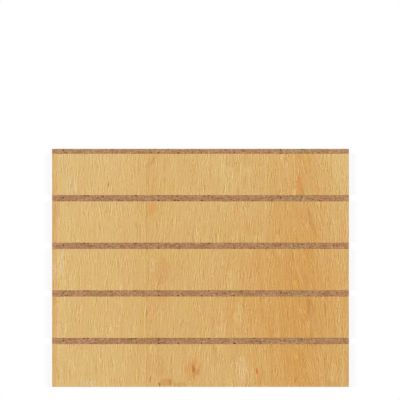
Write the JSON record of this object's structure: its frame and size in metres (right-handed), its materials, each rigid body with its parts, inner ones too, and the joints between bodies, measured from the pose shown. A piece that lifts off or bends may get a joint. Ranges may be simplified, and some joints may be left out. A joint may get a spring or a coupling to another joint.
{
  "type": "slatwall panel",
  "caption": "Flat beech-faced fibreboard display panel with T-shaped grooves running across it to hold hooks and shelf brackets; the top edge cuts through a groove.",
  "frame": {"origin": "middle of the flat back, which lies on the floor", "axes": "+X along the grooves, +Y up the panel as it hangs on a wall, +Z out of the display face"},
  "size_m": [0.4676, 0.375, 0.018],
  "materials": {
    "beech_faced_board": "satin"
  },
  "bodies": {
    "root": {"grooved_panel": "beech_faced_board"}
  },
  "joints": []
}
